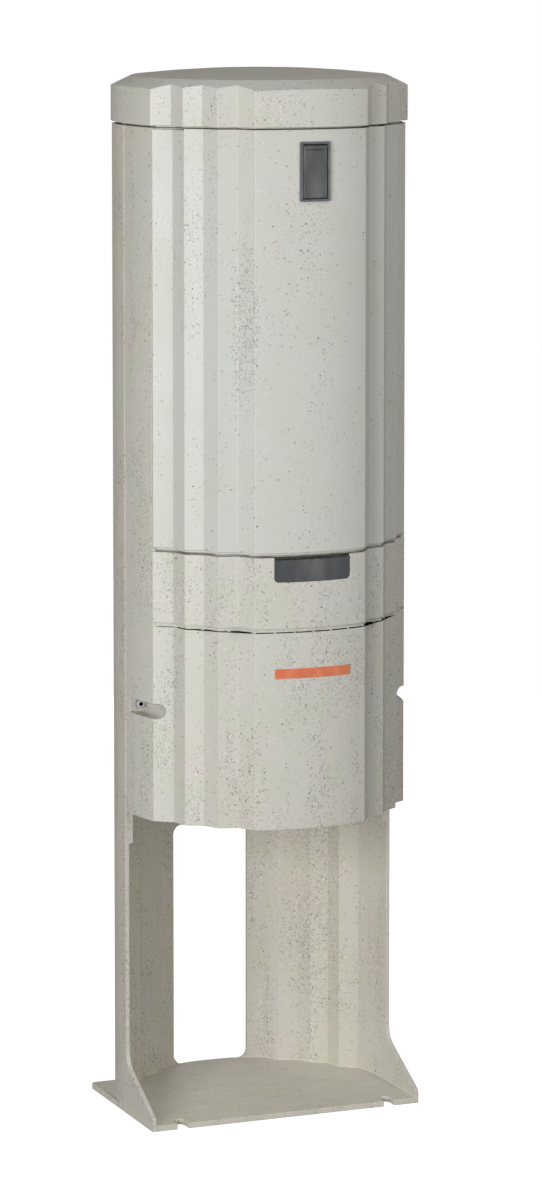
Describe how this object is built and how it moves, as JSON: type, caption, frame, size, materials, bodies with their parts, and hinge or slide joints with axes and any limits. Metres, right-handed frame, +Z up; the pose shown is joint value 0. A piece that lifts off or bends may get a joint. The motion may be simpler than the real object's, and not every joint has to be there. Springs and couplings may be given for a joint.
{
  "type": "outdoor distribution pillar",
  "caption": "Fluted moulded column on an open pedestal, with a lift-out lockable door, cable outlet, vent slots, roof cap and fused power distribution inside.",
  "frame": {"origin": "on the ground under the column's axis, at the middle of the box round the part", "axes": "+Z up along the column, -Y towards the front with the door, +X to the right seen from the front"},
  "size_m": [0.406, 0.406, 1.465],
  "materials": {
    "shell": "speckled off-white glass-reinforced polyester moulding",
    "dark_plastic": "satin dark grey moulding",
    "label": "plain orange film",
    "lock_metal": "satin nickel on brass",
    "steel": "zinc plated",
    "galvanised_steel": "galvanised",
    "board": "grey laminate board",
    "fuse_plastic": "matt dark moulding",
    "copper": "bright copper",
    "ceramic": "off-white ceramic",
    "post_resin": "red-brown cast resin"
  },
  "bodies": {
    "housing": {"rear_housing": "shell", "front_shroud": "shell", "roof_cap": "shell", "cap_screws": "steel", "shroud_screws": "steel", "cable_outlet_plate": "dark_plastic", "ground_mark": "label", "equipment_board": "board", "board_screws": "steel", "fuse_base": "fuse_plastic", "fuse_base_screws": "steel", "fuse_contacts": "copper", "fuse_links": "ceramic", "earth_bar": "copper", "bar_posts": "post_resin", "bar_screws": "steel", "cable_rail": "galvanised_steel", "rail_bolts": "steel", "cable_clamps": "galvanised_steel", "clamp_bolts": "steel", "clamp_nuts": "steel"},
    "door": {"door": "shell", "lock_housing": "dark_plastic", "lock_barrel": "lock_metal", "flap_pin": "steel"},
    "flap": {"lock_flap": "dark_plastic"},
    "lock_cylinder": {"lock_plug": "lock_metal", "lock_cam": "steel", "cam_screw": "steel"}
  },
  "joints": [
    {"name": "door_tilt", "type": "hinge", "parent": "housing", "child": "door", "pos_m": [0, -0.199, 0.808], "axis": [1, 0, 0], "range_deg": [0, 30]},
    {"name": "flap_lift", "type": "hinge", "parent": "door", "child": "flap", "pos_m": [0, -0.2, 1.3653], "axis": [-1, 0, 0], "range_deg": [0, 95]},
    {"name": "lock_turn", "type": "hinge", "parent": "door", "child": "lock_cylinder", "pos_m": [0, -0.17, 1.324], "axis": [0, -1, 0], "range_deg": [0, 90]}
  ]
}
